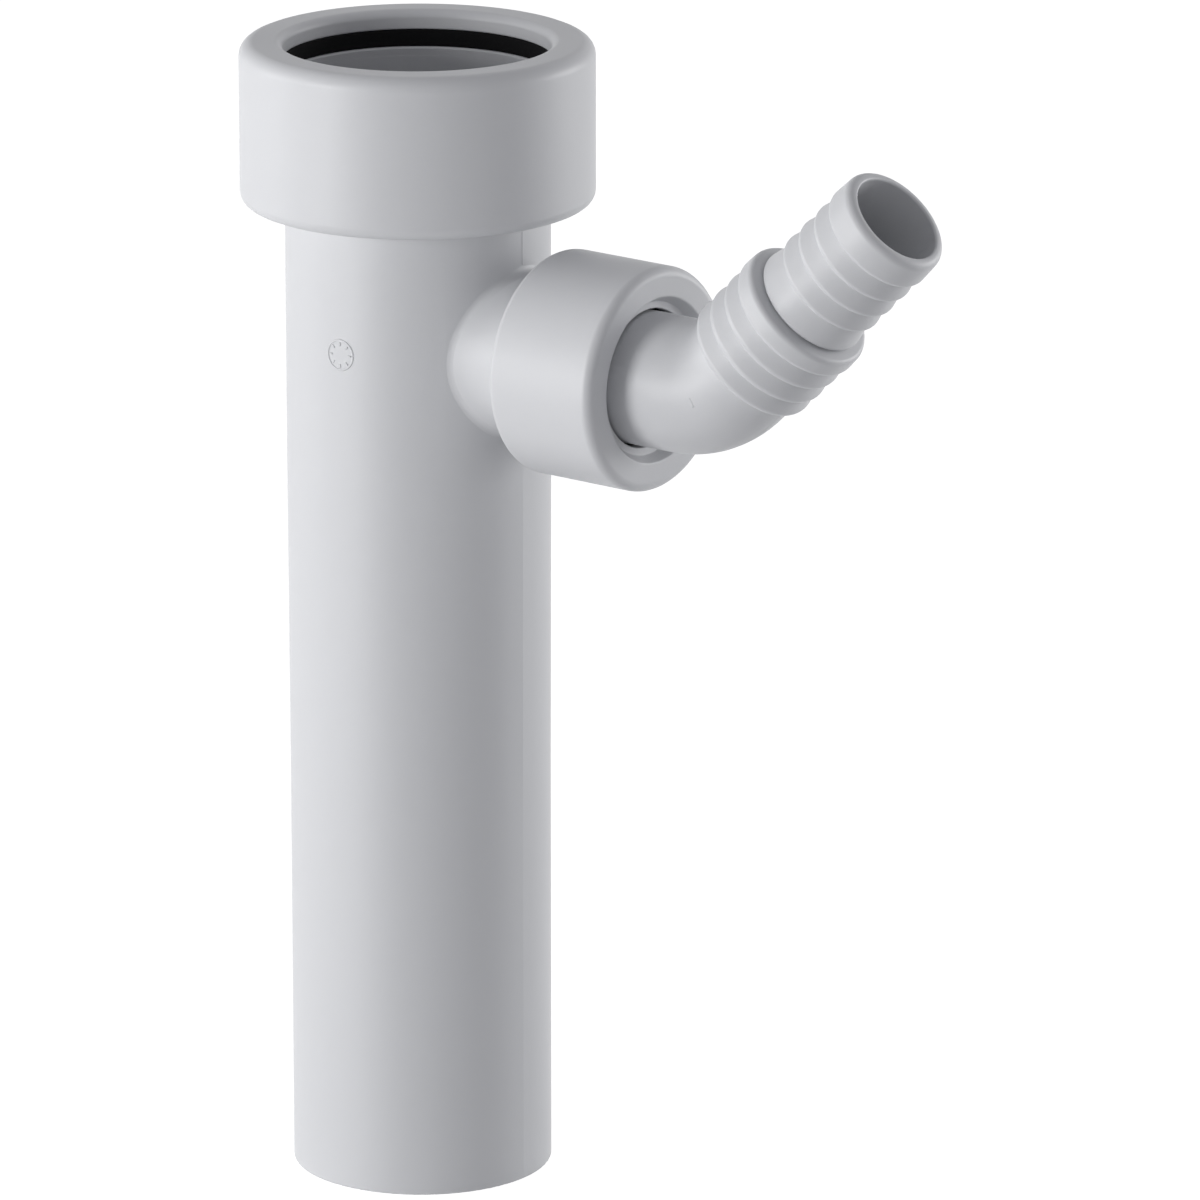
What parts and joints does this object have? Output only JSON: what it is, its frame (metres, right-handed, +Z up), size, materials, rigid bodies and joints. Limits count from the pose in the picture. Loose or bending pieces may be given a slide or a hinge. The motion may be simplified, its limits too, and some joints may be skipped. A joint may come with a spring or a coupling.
{
  "type": "appliance waste connector",
  "caption": "Straight waste pipe with a ring-seal socket on top and a side branch that takes a turnable angled hose nozzle for an appliance drain.",
  "frame": {"origin": "centre of the pipe's plain lower end", "axes": "+Z up the pipe towards the socket, +X out along the branch"},
  "size_m": [0.1207, 0.0538, 0.1773],
  "materials": {
    "grey_plastic": "satin moulded polypropylene, light grey",
    "black_rubber": "black moulded rubber"
  },
  "bodies": {
    "connector": {"pipe_body": "grey_plastic", "socket_collar": "grey_plastic", "socket_seal": "black_rubber", "branch_collar": "grey_plastic", "branch_seal": "black_rubber"},
    "nozzle": {"hose_nozzle": "grey_plastic"}
  },
  "joints": [
    {"name": "nozzle_swivel", "type": "hinge", "parent": "connector", "child": "nozzle", "pos_m": [0.046, 0, 0.1317], "axis": [1, 0, 0], "continuous": true}
  ]
}
